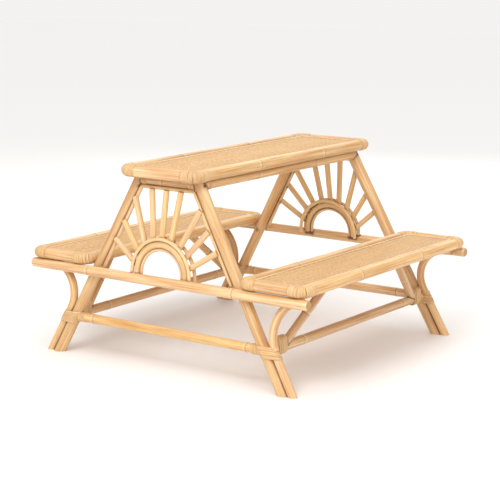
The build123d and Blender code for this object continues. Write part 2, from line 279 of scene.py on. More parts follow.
def geometry_tree(name, sockets):
    """A new Geometry Nodes tree with named inputs. The kind of each follows from its default."""
    tree = bpy.data.node_groups.new(name, "GeometryNodeTree")
    tree.interface.new_socket("Geometry", in_out="INPUT", socket_type="NodeSocketGeometry")
    for label, default in sockets.items():
        kind = "NodeSocket" + SOCKET_KINDS[type(default)]
        socket = tree.interface.new_socket(label, in_out="INPUT", socket_type=kind)
        if default is not None:
            socket.default_value = default
    tree.interface.new_socket("Geometry", in_out="OUTPUT", socket_type="NodeSocketGeometry")
    wires = Wires(tree)
    given = tree.nodes.new("NodeGroupInput").outputs
    result = tree.nodes.new("NodeGroupOutput").inputs[0]
    return tree, wires, given, result


def section_ring(wires, sides, radius):
    """A ring to sweep along a path; each point keeps its place on the ring."""
    ring = wires.add("GeometryNodeCurvePrimitiveCircle", {"Resolution": sides, "Radius": radius})
    place = wires.get("GeometryNodeInputPosition")
    return wires.store(ring.outputs[0], "cane_ring", place, data_type="FLOAT_VECTOR")


def stepped(wires, curve, length):
    """A curve cut into even steps."""
    return wires.get("GeometryNodeResampleCurve", {"Curve": curve, "Length": length}, mode="LENGTH")


def close_tree(wires, geometry, given, result):
    """Makes instances real, gives them the finish and ends the tree."""
    geometry = wires.get("GeometryNodeRealizeInstances", {0: geometry})
    inputs = {"Geometry": geometry, "Material": given["Finish"]}
    wires.put(result, wires.get("GeometryNodeSetMaterial", inputs))
    print(wires.tree.name, "tree:", len(wires.tree.nodes), "nodes")


# %% [markdown]
# ## The cane pole
# Rattan is a climbing palm: its stem swells a little at each leaf joint, wanders slightly and never has
# quite the same thickness twice. A cylinder can't show that. A Geometry Nodes tree can: it walks along
# any path, sets the radius from the distance to the nearest joint, and sweeps a ring along it. It also
# writes down where each point lies on the stem, so the material knows where joints and fibres are.

# %% Geometry Nodes: a cane pole along a path
SWELL_WIDTH = 0.008
END_EASE, END_EASE_WIDTH = -0.14, 0.0025
LUMPS_PER_METRE, DRIFTS_PER_METRE = 9.0, 3.0
MOST_SIDE_CORNERS = 4.5

pole_tree, w, given, result = geometry_tree("Cane pole", {
    "Diameter": 0.028, "Joint pitch": 0.2, "First joint": 0.1,
    "Swelling": 0.04, "Unevenness": 0.03, "Wander": 0.002,
    "Step": 0.003, "Sides": 20, "Seed": 1, "Finish": None,
})
path = stepped(w, w.get("GeometryNodeMeshToCurve", {0: given["Geometry"]}), given["Step"])
along = w.add("GeometryNodeSplineParameter").outputs
pole_number = w.add("GeometryNodeCurveOfPoint").outputs["Curve Index"]
total = w.add("GeometryNodeSplineLength").outputs["Length"]
phase = w.random(0.0, 1.0, pole_number, given["Seed"])
tone = w.random(0.0, 1.0, pole_number, w.plus(given["Seed"], 7.0))
past_first = w.minus(along["Length"], given["First joint"])
joint_count = w.plus(w.math("DIVIDE", past_first, given["Joint pitch"]), 0.5)
from_joint = w.times(w.minus(w.math("FRACT", joint_count), 0.5), given["Joint pitch"])
swelling = w.times(w.bell(from_joint, SWELL_WIDTH), given["Swelling"])
lump_place = w.vector(w.times(along["Length"], LUMPS_PER_METRE), w.times(phase, 31.0), given["Seed"])
lumps = w.times(w.minus(w.noise(lump_place, 1.0), 0.5), given["Unevenness"])
to_end = w.math("MINIMUM", along["Length"], w.minus(total, along["Length"]))
eased_end = w.times(w.bell(to_end, END_EASE_WIDTH), END_EASE)
swell_sum = w.plus(w.plus(swelling, lumps), w.plus(eased_end, 1.0))
radius = w.times(w.times(given["Diameter"], 0.5), swell_sum)
drift_place = w.vector(w.times(along["Length"], DRIFTS_PER_METRE), w.times(phase, 57.0), given["Seed"])
drift_noise = {"Vector": drift_place, "Scale": 1.0, "Detail": 1.0}
drift = w.add("ShaderNodeTexNoise", drift_noise).outputs["Color"]
drift = w.get("ShaderNodeVectorMath", {0: drift, 1: (0.5, 0.5, 0.5)}, operation="SUBTRACT")
held_ends = w.math("SINE", w.times(along["Factor"], math.pi))
reach = w.times(held_ends, given["Wander"])
drift = w.get("ShaderNodeVectorMath", {0: drift, "Scale": reach}, operation="SCALE")
path = w.get("GeometryNodeSetPosition", {"Geometry": path, "Offset": drift})
for label, value in (("cane_joints", joint_count), ("cane_pitch", given["Joint pitch"]),
                     ("cane_along", along["Length"]), ("cane_tone", tone)):
    path = w.store(path, label, value)
ring = section_ring(w, given["Sides"], 1.0)
sweep = {"Curve": path, "Profile Curve": ring, "Scale": radius, "Fill Caps": True}
solid = w.get("GeometryNodeCurveToMesh", sweep)
corners = w.add("GeometryNodeInputMeshFaceNeighbors").outputs["Vertex Count"]
solid = w.store(solid, "cut_end", w.math("GREATER_THAN", corners, MOST_SIDE_CORNERS), domain="FACE")
close_tree(w, solid, given, result)

# %% [markdown]
# ## Wound peel
# The joints of cane furniture are bound with the split skin of the stem, wound wet so that it shrinks
# tight. Each turn is one loop round one pole, or round two poles side by side. The tree makes one loop
# and stands a copy of it at every turn, each a little tilted and with its own tone.

# %% Geometry Nodes: turns of peel along a path
peel_tree, w, given, result = geometry_tree("Wound peel", {
    "Near radius": 0.015, "Far radius": 0.015, "Spread": 0.0,
    "Spread axis": (0.0, 0.0, 1.0), "Slant": (0.0, 0.0, 0.0),
    "Turn pitch": 0.005, "Strip width": 0.005, "Strip thickness": 0.0014,
    "Tilt": 0.04, "Seed": 1, "Finish": None,
})
path = stepped(w, w.get("GeometryNodeMeshToCurve", {0: given["Geometry"]}), given["Turn pitch"])
TURN_LENGTH = 0.1
loop = w.get("GeometryNodeCurvePrimitiveCircle", {"Resolution": 32, "Radius": 1.0})
round_loop = w.add("GeometryNodeSplineParameter").outputs["Factor"]
loop = w.store(loop, "cane_along", w.times(round_loop, TURN_LENGTH))
x, y, _ = w.split(w.get("GeometryNodeInputPosition"))
far_side = w.math("GREATER_THAN", x, 0.0)
near_part = w.times(w.minus(1.0, far_side), given["Near radius"])
loop_radius = w.plus(near_part, w.times(far_side, given["Far radius"]))
loop_x = w.plus(w.times(x, loop_radius), w.times(far_side, given["Spread"]))
loop_place = w.vector(loop_x, w.times(y, loop_radius), 0.0)
loop = w.get("GeometryNodeSetPosition", {"Geometry": loop, "Position": loop_place})
strip = section_ring(w, 6, w.times(given["Strip thickness"], 0.5))
turn = w.get("GeometryNodeCurveToMesh", {"Curve": loop, "Profile Curve": strip})
widen = w.math("DIVIDE", given["Strip width"], given["Strip thickness"])
turn = w.get("GeometryNodeTransform", {"Geometry": turn, "Scale": w.vector(1.0, 1.0, widen)})
number = w.get("GeometryNodeInputIndex")
tilt_limit = w.times(given["Tilt"], -1.0)
tilt = w.vector(
    w.random(tilt_limit, given["Tilt"], number, given["Seed"]),
    w.random(tilt_limit, given["Tilt"], number, w.plus(given["Seed"], 3.0)), 0.0)
tangent = w.get("GeometryNodeInputTangent")
facing = w.get("FunctionNodeAxesToRotation", {
    0: w.get("ShaderNodeVectorMath", {0: tangent, 1: given["Slant"]}), 1: given["Spread axis"],
}, primary_axis="Z", secondary_axis="X")
facing = w.get("FunctionNodeRotateRotation", {0: facing, 1: tilt}, rotation_space="LOCAL")
turns = w.get("GeometryNodeInstanceOnPoints", {"Points": path, "Instance": turn, "Rotation": facing})
tone = w.random(0.0, 1.0, number, w.plus(given["Seed"], 5.0))
close_tree(w, w.store(turns, "cane_tone", tone, domain="INSTANCE"), given, result)

# %% [markdown]
# ## The woven field
# The table top and the seats are filled with a close weave: thin strands run lengthwise and pass over
# and under hidden cross stakes, so the surface is ribbed along its length and rises and falls in a
# brick pattern. One strand is a line; the tree repeats it row by row and bends each row into a wave,
# half a wave out of step with its neighbour.

# %% Geometry Nodes: a woven field
weave_tree, w, given, result = geometry_tree("Woven field", {
    "Length": 0.7, "Width": 0.16, "Centre": (0.0, 0.0, 0.0),
    "Row pitch": 0.003, "Stake pitch": 0.011, "Strand": 0.0031,
    "Wave height": 0.0006, "Seed": 1, "Finish": None,
})
row_count = w.math("FLOOR", w.math("DIVIDE", given["Width"], given["Row pitch"]))
row_step = w.math("DIVIDE", given["Width"], row_count)
first_y = w.times(w.minus(row_step, given["Width"]), 0.5)
first_x = w.times(given["Length"], -0.5)
rows = w.get("GeometryNodeMeshLine", {
    "Count": row_count, "Start Location": w.vector(first_x, first_y, 0.0),
    "Offset": w.vector(0.0, row_step, 0.0),
}, mode="OFFSET")
strand_end = w.vector(given["Length"], 0.0, 0.0)
strand = w.get("GeometryNodeCurvePrimitiveLine", {"Start": (0, 0, 0), "End": strand_end})
strand = stepped(w, strand, w.math("DIVIDE", given["Stake pitch"], 4.0))
row = w.get("GeometryNodeInputIndex")
field = w.get("GeometryNodeInstanceOnPoints", {"Points": rows, "Instance": strand})
field = w.store(field, "row", row, domain="INSTANCE")
field = w.store(field, "cane_tone", w.random(0.0, 1.0, row, given["Seed"]), domain="INSTANCE")
field = w.get("GeometryNodeRealizeInstances", {0: field})
x = w.split(w.get("GeometryNodeInputPosition"))[0]
this_row = w.get("GeometryNodeInputNamedAttribute", {"Name": "row"}, data_type="FLOAT")
wave_turn = w.plus(w.math("DIVIDE", x, given["Stake pitch"]), this_row)
wave = w.math("SINE", w.times(wave_turn, math.pi))
WOBBLES_PER_METRE, WOBBLE = 25.0, 0.0007
wobble = w.noise(w.vector(w.times(x, WOBBLES_PER_METRE), this_row, given["Seed"]), 1.0)
wobble = w.times(w.minus(wobble, 0.5), WOBBLE)
lift = w.vector(0.0, wobble, w.times(wave, given["Wave height"]))
field = w.store(field, "cane_along", x)
field = w.store(field, "weave_wave", wave)
field = w.get("GeometryNodeSetPosition", {"Geometry": field, "Offset": lift})
section = section_ring(w, 6, w.times(given["Strand"], 0.5))
sweep = {"Curve": field, "Profile Curve": section, "Fill Caps": True}
field = w.get("GeometryNodeCurveToMesh", sweep)
field = w.get("GeometryNodeTransform", {"Geometry": field, "Translation": given["Centre"]})
close_tree(w, field, given, result)


# %% [markdown]
# ## Growing a piece
# Every piece starts as a bare path of points. The tree is put on it as a modifier, its inputs are set
# by their identifiers, and the result is frozen into a plain mesh that rides on the frame and stands
# for its CAD node.

# %% Turning a path and a tree into a finished piece
# How far from other parts the painted contact shade reaches, and how fast it fades.
CONTACT_REACH, CONTACT_FALL = 0.0045, 1.6
node_boxes = {node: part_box(node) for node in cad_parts}


def path_object(name, paths):
    """A wire object: each path is a list of points joined by edges."""
    points = []
    edges = []
    for one_path in paths:
        start = len(points)
        points += [tuple(point) for point in one_path]
        edges += [(start + i, start + i + 1) for i in range(len(one_path) - 1)]
    mesh = bpy.data.meshes.new(name)
    mesh.from_pydata(points, edges, [])
    return in_scene(name, mesh)


def outward(mesh):
    """Turns every face of a closed mesh outwards."""
    shape = bmesh.new()
    shape.from_mesh(mesh)
    bmesh.ops.recalc_face_normals(shape, faces=shape.faces[:])
    shape.to_mesh(mesh)
    shape.free()


def grown_mesh(name, tree, paths, **inputs):
    """The plain mesh that a tree makes of some paths. Input names have underscores for spaces."""
    wire = path_object(name, paths)
    modifier = wire.modifiers.new("grow", "NODES")
    modifier.node_group = tree
    for item in tree.interface.items_tree:
        key = item.name.replace(" ", "_").lower()
        if item.item_type == "SOCKET" and item.in_out == "INPUT" and key in inputs:
            modifier[item.identifier] = inputs[key]
    wire.update_tag()
    graph = bpy.context.evaluated_depsgraph_get()
    grown = wire.evaluated_get(graph)
    mesh = bpy.data.meshes.new_from_object(grown, preserve_all_data_layers=True, depsgraph=graph)
    bpy.data.objects.remove(wire)
    mesh.name = name
    outward(mesh)
    return mesh


def trim_flat(mesh, height, keep_below):
    """Saws a mesh level at a height and closes the cut."""
    shape = bmesh.new()
    shape.from_mesh(mesh)
    cut = bmesh.ops.bisect_plane(
        shape, geom=shape.verts[:] + shape.edges[:] + shape.faces[:], plane_co=(0, 0, height),
        plane_no=(0, 0, 1), clear_outer=keep_below, clear_inner=not keep_below,
    )
    rim = [item for item in cut["geom_cut"] if isinstance(item, bmesh.types.BMEdge)]
    filled = bmesh.ops.holes_fill(shape, edges=rim, sides=0)
    layer = shape.faces.layers.float.get("cut_end")
    for face in filled["faces"]:
        face[layer] = 1.0
    shape.to_mesh(mesh)
    shape.free()
    outward(mesh)


def smooth_sides(mesh):
    """Rounds the shading of the sides and keeps every cut end flat."""
    for face in mesh.polygons:
        face.use_smooth = len(face.vertices) <= 4


def boxes_meet(first, second):
    """Whether two nodes' boxes come within reach of each other."""
    (low, high), (other_low, other_high) = node_boxes[first], node_boxes[second]
    return all(low[axis] - CONTACT_REACH < other_high[axis] and other_low[axis] - CONTACT_REACH < high[axis]
               for axis in range(3))


def mark_contacts(mesh, node):
    """Stores how near each point is to the frame's other parts, one where they touch; the finishes paint
    shade there.
    """
    points, faces = [], []
    for other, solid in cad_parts.items():
        if other != node and not other.endswith("_bindings") and boxes_meet(node, other):
            start = len(points)
            points += [solid.matrix_world @ vertex.co for vertex in solid.data.vertices]
            faces += [[start + index for index in face.vertices] for face in solid.data.polygons]
    neighbours = BVHTree.FromPolygons(points, faces)
    mesh.attributes.new("contact_shade", "FLOAT", "POINT")
    nearness = [0.0] * len(mesh.vertices)
    for index, vertex in enumerate(mesh.vertices):
        distance = neighbours.find_nearest(vertex.co, CONTACT_REACH)[3]
        if distance is not None:
            nearness[index] = (1 - distance / CONTACT_REACH) ** CONTACT_FALL
    mesh.attributes["contact_shade"].data.foreach_set("value", nearness)


made = {"pieces": 0, "triangles": 0}


def finished(name, mesh, node):
    """Puts a mesh on the frame in place of its CAD node."""
    smooth_sides(mesh)
    mark_contacts(mesh, node)
    made["pieces"] += 1
    made["triangles"] += sum(len(face.vertices) - 2 for face in mesh.polygons)
    piece = in_scene(name, mesh)
    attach(piece, "root")
    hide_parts(node)


def cane(node, paths, diameter, finish=None, floor_cut=None, head_cut=None, slot="pole", pitch=0.2,
         first=0.1, **inputs):
    """Grows cane along paths for one CAD node, lacquered unless told, and sawn level where asked."""
    settings = {"swelling": 0.04, "unevenness": 0.035, "wander": 0.003, "sides": 20, **inputs}
    mesh = grown_mesh(
        f"{node}_cane", pole_tree, paths, diameter=diameter, joint_pitch=pitch, first_joint=first,
        seed=made["pieces"] * 11 + 3, finish=finish or pole_finish, **settings)
    if floor_cut is not None:
        trim_flat(mesh, floor_cut, keep_below=False)
    if head_cut is not None:
        trim_flat(mesh, head_cut, keep_below=True)
    finished(f"{node}_cane", mesh, node)


# %% [markdown]
# ## Finishes
# Lacquered cane has a hard, slightly glossy skin with fine fibres along it, a dark hairline and a pale
# band at each joint, and its colour drifts from pole to pole. The fibres and the joints are wanted by
# several finishes, so each is a node group that gives only masks and heights; the shader stays in the
# material.

# %% Shared node groups: fibres, joints and handling marks
def mask_group(name, inputs, outputs):
    """A shader node group with named float inputs and outputs."""
    tree = bpy.data.node_groups.new(name, "ShaderNodeTree")
    number = "NodeSocketFloat"
    for label, default in inputs.items():
        tree.interface.new_socket(label, in_out="INPUT", socket_type=number).default_value = default
    for label in outputs:
        tree.interface.new_socket(label, in_out="OUTPUT", socket_type=number)
    wires = Wires(tree)
    return tree, wires, tree.nodes.new("NodeGroupInput").outputs, tree.nodes.new("NodeGroupOutput").inputs


def read(wires, name, output="Fac"):
    """A named attribute of the piece's own mesh."""
    return wires.add("ShaderNodeAttribute", attribute_name=name, attribute_type="GEOMETRY").outputs[output]


def on_stem(wires, across, lengthwise):
    """A place on the stem's skin: the place on the ring, scaled, and a value that runs lengthwise."""
    x, y, _ = wires.split(read(wires, "cane_ring", "Vector"))
    return wires.vector(wires.times(x, across), wires.times(y, across), lengthwise)


fibre_sizes = {"Fibres round": 9.0, "Stretch": 6.0, "Ring scale": 1.0}
fibre_group, w, given, out = mask_group("Cane fibres", fibre_sizes, ["Streak", "Fleck", "Height"])
lengthwise = w.times(read(w, "cane_along"), given["Stretch"])
lengthwise = w.plus(lengthwise, w.times(read(w, "cane_tone"), 40.0))
across = w.times(given["Fibres round"], given["Ring scale"])
streak = w.noise(on_stem(w, across, lengthwise), 1.0, 4.0, 0.62)
broad = w.noise(on_stem(w, given["Ring scale"], w.times(lengthwise, 0.8)), 1.3, 2.0, 0.5)
fleck = w.noise(on_stem(w, w.times(across, 0.6), w.times(lengthwise, 5.0)), 1.0, 1.0, 0.4)
w.put(out["Streak"], w.plus(w.times(streak, 0.6), w.times(broad, 0.4)))
w.put(out["Fleck"], w.ramp(fleck, 0.68, 9.0))
w.put(out["Height"], streak)

RAGGED_EDGE = 0.004
BAND_PLACE, BAND_WIDTH = 0.005, 0.004
joint_group, w, given, out = mask_group("Cane joints", {"Line width": 0.0011}, ["Line", "Band", "Height"])
from_joint = w.times(w.minus(w.math("FRACT", read(w, "cane_joints")), 0.5), read(w, "cane_pitch"))
ragged = w.noise(on_stem(w, 2.0, read(w, "cane_tone")), 1.0, 2.0)
from_joint = w.plus(from_joint, w.times(w.minus(ragged, 0.5), RAGGED_EDGE))
line = w.bell(from_joint, given["Line width"])
band = w.bell(w.minus(from_joint, BAND_PLACE), BAND_WIDTH)
w.put(out["Line"], line)
w.put(out["Band"], band)
w.put(out["Height"], w.minus(w.times(band, 0.5), line))

wear_group, w, given, out = mask_group("Handling marks", {"Scale": 14.0}, ["Mottle", "Scuff"])
place = w.add("ShaderNodeTexCoord").outputs["Object"]
w.put(out["Mottle"], w.noise(place, given["Scale"], 3.0, 0.6))
scuff = w.noise(place, w.times(given["Scale"], 7.0), 4.0, 0.7)
w.put(out["Scuff"], w.ramp(scuff, 0.55, 4.0))


def placed(wires, group, **values):
    """One of the groups above, placed in a material with its own values."""
    node = wires.add("ShaderNodeGroup", node_tree=group)
    for label, value in values.items():
        node.inputs[label.replace("_", " ").capitalize()].default_value = value
    return node.outputs


def colour(hex_code):
    """A linear colour from a six-digit sRGB code."""
    channels = [int(hex_code[i:i + 2], 16) / 255 for i in (0, 2, 4)]
    return tuple(c / 12.92 if c <= 0.04045 else ((c + 0.055) / 1.055) ** 2.4 for c in channels) + (1.0,)


def blank_material(name):
    """A new material, the helper for its tree, and its shader's inputs."""
    material = bpy.data.materials.new(name)
    material.use_nodes = True
    return material, Wires(material.node_tree), material.node_tree.nodes["Principled BSDF"].inputs


# %% [markdown]
# Each cane finish starts from a dark and a light tone that the fibres blend, shifts a little from pole
# to pole, and then lays the joints, flecks and marks over that, with painted shade where parts touch
# and in hollows. The sawn ends show pith: duller, browner and full of pores.

# %% The cane finishes
def cane_finish(name, dark, light, joints, roughness, fibres, bump, stretch=6.0, ring_scale=1.0, crevice_shade=None,
                flecks=0.35, shade_strength=1.1):
    """A lacquered cane material. joints turns the dark lines and pale bands on; two more values set the
    painted shade in hollows and where parts touch.
    """
    material, w, shader = blank_material(name)
    fibre = placed(w, fibre_group, fibres_round=fibres, stretch=stretch, ring_scale=ring_scale)
    marks = placed(w, wear_group)
    tone = read(w, "cane_tone")
    spread = w.ramp(fibre["Streak"], 0.36, 3.2)
    base = w.colour_mix(spread, colour(dark), colour(light))
    pole_shift = w.get("ShaderNodeHueSaturation", {
        "Hue": w.plus(0.4965, w.times(tone, 0.007)),
        "Saturation": w.plus(0.94, w.times(tone, 0.13)),
        "Value": w.plus(0.93, w.times(w.math("FRACT", w.times(tone, 7.0)), 0.13)),
        "Color": base,
    })
    mottle = w.ramp(marks["Mottle"], 0.5, 1.1)
    base = w.colour_mix(w.times(mottle, 0.5), pole_shift, colour("c98a50"))
    base = w.colour_mix(w.times(fibre["Fleck"], flecks), base, colour("94592a"))
    height = w.times(fibre["Height"], 0.5)
    if joints:
        joint = placed(w, joint_group)
        base = w.colour_mix(w.times(joint["Band"], 0.30), base, colour("f7dcae"))
        base = w.colour_mix(w.times(joint["Line"], 0.62), base, colour("7c4a22"))
        height = w.plus(height, w.times(joint["Height"], 2.2))
    if crevice_shade:
        # Painted shade: darker where a strand dips under its neighbours and towards the foot of the edge
        # strip.
        dip_shade = w.times(w.minus(0.25, read(w, "weave_wave")), crevice_shade, clamp=True)
        base = w.colour_mix(dip_shade, base, colour("8a5527"))
    # Painted shade: darker brown where this piece touches other parts, patchy with the mottle.
    painted_shade = w.times(read(w, "contact_shade"), w.plus(0.45, w.times(marks["Mottle"], 0.9)))
    base = w.colour_mix(w.times(painted_shade, shade_strength, clamp=True), base, colour("5f2f12"))
    pores = w.noise(w.add("ShaderNodeTexCoord").outputs["Object"], 900.0, 2.0)
    pith = w.colour_mix(pores, colour("8f6236"), colour("d8ac74"))
    base = w.colour_mix(read(w, "cut_end"), base, pith)
    dulled = w.plus(w.times(marks["Scuff"], 0.18), w.times(fibre["Height"], 0.16))
    relief = w.get("ShaderNodeBump", {"Strength": 0.55, "Distance": bump, "Height": height})
    for label, value in (("Base Color", base), ("Roughness", w.plus(roughness, dulled)), ("Normal", relief),
                         ("Coat Weight", 0.18), ("Coat Roughness", 0.28), ("IOR", 1.48)):
        w.put(shader[label], value)
    return material


pole_finish = cane_finish("lacquered_cane", "bf8449", "f8daa8", True, 0.34, 9.0, 0.0006)
rod_finish = cane_finish("peeled_core_rod", "d6a46c", "f7dbaa", False, 0.42, 6.0, 0.0004, stretch=9.0)
peel_finish = cane_finish("wound_peel", "cd9a61", "f3d6a5", False, 0.38, 1.4, 0.0003, stretch=30.0,
                          ring_scale=1800.0, shade_strength=0.12)
weave_finish = cane_finish("woven_strand", "d2a26a", "f6d7a4", False, 0.48, 1.2, 0.0003, stretch=22.0,
                           ring_scale=900.0, crevice_shade=0.42, flecks=0.7, shade_strength=0.35)
strip_finish = cane_finish("half_round_strip", "d6a46c", "f7dbaa", False, 0.42, 3.0, 0.0003, stretch=9.0,
                           crevice_shade=0.8)
print("finishes made:", [m.name for m in bpy.data.materials if m.name != "floor_paint"])


# %% [markdown]
# ## The end frames
# Each end is one flat frame, drawn upright in the YZ plane with its outside towards -X, then leaned
# inwards at the top. The back end is the same frame turned half round. The two short functions below
# do that to any path.

# %% Lines of the end frame
BELOW_FLOOR = -0.02


def leg_y(height):
    """Half the distance between the leg centres, at a height along the frame."""
    return LEG_FOOT_Y - math.tan(SPLAY) * height


def on_frame(level, plane):
    """Height along the leaned frame of a point that is at a level above the floor."""
    return (level + plane * math.sin(LEAN)) / math.cos(LEAN)


def at_end(points, end):
    """Leans upright points inwards and puts them at the front or the back."""
    turn = Matrix.Rotation(math.pi, 4, "Z") if end == "back" else Matrix.Identity(4)
    place = turn @ Matrix.Translation((-LEG_FOOT_X, 0, 0)) @ Matrix.Rotation(LEAN, 4, "Y")
    return [place @ Vector(point) for point in points]


def arc(centre, radius, start, sweep_angle, steps=24):
    """Points of an arc in a plane, angles in radians."""
    angles = [start + sweep_angle * i / steps for i in range(steps + 1)]
    return [(centre[0] + radius * math.cos(a), centre[1] + radius * math.sin(a)) for a in angles]


def upright(flat_points, plane, side=1):
    """(y, z) points stood up in the end frame's plane, mirrored for the right side."""
    return [(plane, side * y, z) for y, z in flat_points]


def bracket_path(side, bend):
    """Up the outside of the leg, then round and out under the bench."""
    top = bench_board_low - BRACKET / 2
    centre_z = top - bend
    bend_z = centre_z - bend * math.sin(SPLAY)
    lead = ((LEG + BRACKET) / 2 + BRACKET_GAP) / math.cos(SPLAY)
    centre_y = leg_y(bend_z) + lead + bend * math.cos(SPLAY)
    end_y = min(centre_y, BRACKET_END_Y)
    end_angle = math.acos((end_y - centre_y) / bend)
    points = [(leg_y(BELOW_FLOOR) + lead, BELOW_FLOOR)]
    points += arc((centre_y, centre_z), bend, math.pi + SPLAY, end_angle - math.pi - SPLAY)
    if end_y < BRACKET_END_Y:
        points.append((BRACKET_END_Y, top))
    return upright(points, 0, side)


def arch_path(plane, radius, foot):
    """Up one foot, over a half circle and down the other foot."""
    points = [(ARCH_SHIFT + radius, foot)]
    points += arc((ARCH_SHIFT, ARCH_BASE), radius, 0, math.pi, 48)
    points.append((ARCH_SHIFT - radius, foot))
    return upright(points, plane)


# %% Legs, brackets and bars
SNUG = 0.0012
FRONT_BAR_SLIP = 0.006
seat_bar_height = on_frame(seat_bar_level, seat_bar_plane) + SNUG
top_bar_height = on_frame(top_bar_level, 0)
for end in ("front", "back"):
    for side, name, bend in ((1, "left", BRACKET_BENDS[0]), (-1, "right", BRACKET_BENDS[1])):
        leg_line = [(0, side * leg_y(z), z) for z in (BELOW_FLOOR, table_top)]
        cane(f"{end}_leg_{name}", [at_end(leg_line, end)], LEG, floor_cut=0.0, head_cut=table_board_low,
             pitch=0.45, first=0.134, sides=24)
        cane(f"{end}_bracket_{name}", [at_end(bracket_path(side, bend), end)], BRACKET,
             floor_cut=0.0, pitch=0.5, first=0.134, wander=0.001)
    slip = FRONT_BAR_SLIP if end == "front" else 0
    seat_line = [(seat_bar_plane, y - slip, seat_bar_height) for y in (-seat_bar_half, seat_bar_half)]
    cane(f"{end}_seat_bar", [at_end(seat_line, end)], SEAT_BAR, pitch=0.443, first=0.207)
    for part, height, into_leg, diameter, settings in (
            ("lower_bar", lower_bar_height, LEG / 2, BAR, {"pitch": 0.47, "first": 0.035}),
            ("top_bar", top_bar_height, LEG / 4, TOP_BAR, {"pitch": 0.3, "wander": 0.0})):
        half = leg_y(height) - into_leg
        bar_line = [(0, y, height) for y in (-half, half)]
        cane(f"{end}_{part}", [at_end(bar_line, end)], diameter, **settings)
print("legs, brackets and bars:", made)

# %% [markdown]
# ## The sunburst
# A thick half-round arch stands on the seat bar between two thin ones. Nine rays leave it: three land
# on the trim of each leg and three under the top bar. A second thin arch behind holds the rays like the
# filling of a sandwich.

# %% Arches, rays and trim rods
RAY_COUNT = 9
SIDE_RAYS = 3
RAY_ANGLES = (math.radians(11), math.radians(163))
SIDE_RAY_LOW = 0.311
SIDE_RAY_STEP = 0.0475
LEFT_RAY_LIFT = 0.014
TOP_RAY_SPACING = 0.044
RAY_TOP = 0.443


def ray_tip(index):
    """Where a ray's outer end lands: left leg, top bar or right leg."""
    last = RAY_COUNT - 1
    inside_leg = LEG / 2 + TRIM_ROD / 2
    if index < SIDE_RAYS:
        lift = LEFT_RAY_LIFT if index == SIDE_RAYS - 1 else 0
        height = SIDE_RAY_LOW + index * SIDE_RAY_STEP + lift
        return (leg_y(height) - inside_leg, height)
    if index > last - SIDE_RAYS:
        height = SIDE_RAY_LOW + (last - index) * SIDE_RAY_STEP
        return (inside_leg - leg_y(height), height)
    return ((last / 2 - index) * TOP_RAY_SPACING, RAY_TOP)


ray_lines = []
for index in range(RAY_COUNT):
    angle = RAY_ANGLES[0] + (RAY_ANGLES[1] - RAY_ANGLES[0]) * index / (RAY_COUNT - 1)
    root_radius = MIDDLE_RADIUS + MIDDLE_ROD / 2
    root = (ARCH_SHIFT + root_radius * math.cos(angle), ARCH_BASE + root_radius * math.sin(angle))
    ray_lines.append(upright([root, ray_tip(index)], FAN_PLANE))

trim_inset = math.sqrt(((LEG + TRIM_ROD) / 2) ** 2 - TRIM_ROD_PLANE**2) / math.cos(SPLAY)
trim_low = seat_bar_height + SEAT_BAR / 2
trim_high = top_bar_height - TOP_BAR / 2 - TRIM_ROD / 2 + SNUG
trim_lines = [
    [(TRIM_ROD_PLANE, side * (leg_y(z) - trim_inset), z) for z in (trim_low, trim_high)] for side in (1, -1)
]
top_half = leg_y(trim_high) - trim_inset
trim_lines.append([(TRIM_ROD_PLANE, y, trim_high) for y in (-top_half, top_half)])

saddle_foot = seat_bar_height + SEAT_BAR / 4
behind = (RAY + OUTER_ROD) / 2
ARCH_NESTING = 0.002
ARCH_SEATING = 0.001
BACK_ARCH_FOOT = 0.230
outer_foot = seat_bar_height + SEAT_BAR / 2 - ARCH_SEATING
outer_paths = [
    arch_path(FAN_PLANE - behind + ARCH_NESTING, OUTER_RADIUS, outer_foot),
    arch_path(FAN_PLANE + behind, OUTER_RADIUS, BACK_ARCH_FOOT),
]
middle_paths = [arch_path(ARCH_PLANE, MIDDLE_RADIUS, saddle_foot)]
inner_paths = [arch_path(ARCH_PLANE, INNER_RADIUS, saddle_foot)]
for end in ("front", "back"):
    for part, paths, diameter, wander, sides in (
            ("arch_middle", middle_paths, MIDDLE_ROD, 0.0005, 20),
            ("arch_inner", inner_paths, INNER_ROD, 0.0, 12),
            ("arch_outer", outer_paths, OUTER_ROD, 0.0005, 12),
            ("rays", ray_lines, RAY, 0.0015, 16),
            ("fan_trim", trim_lines, TRIM_ROD, 0.001, 12)):
        cane(f"{end}_{part}", [at_end(path, end) for path in paths], diameter, rod_finish,
             slot="thin_rod", swelling=0.0, wander=wander, sides=sides)
print("sunbursts:", made)

# %% [markdown]
# ## Stretchers, rails and braces
# Two stretchers tie the ends near the floor, two rails carry the top, and four slanting braces prop the
# benches from the stretchers' ends.

# %% Long members
OVERRUN = 1.15
leg_x_low = LEG_FOOT_X - lower_bar_height * math.tan(LEAN)
leg_x_high = LEG_FOOT_X - rail_height * math.tan(LEAN)
for side, name in ((1, "left"), (-1, "right")):
    line = [(x, side * STRETCHER_Y, lower_bar_height) for x in (-leg_x_low, leg_x_low)]
    cane(f"stretcher_{name}", [line], BAR, pitch=0.46, first=0.13)
    line = [(x, side * RAIL_Y, rail_height) for x in (-leg_x_high, leg_x_high)]
    cane(f"top_rail_{name}", [line], RAIL, pitch=0.252, first=0.220, wander=0.0)
    for end_x, end in ((-1, "front"), (1, "back")):
        foot = (end_x * BRACE_FOOT_X, side * STRETCHER_Y, lower_bar_height)
        rise = bench_board_low - lower_bar_height
        head = (end_x * (BRACE_FOOT_X - OVERRUN * BRACE_REACH),
                side * (STRETCHER_Y + OVERRUN * BRACE_SPREAD), lower_bar_height + OVERRUN * rise)
        cane(f"brace_{end}_{name}", [[foot, head]], BRACE, head_cut=bench_board_low, pitch=0.14, wander=0.001)
print("long members:", made)


# %% [markdown]
# ## Borders of the top and the benches
# Each panel is edged with four cane poles. Every pole is steamed and bent to half of the corner at each
# end, so two poles meet in the middle of the bend under a wound skin.

# %% Border poles
BEND_OVERLAP = 0.1


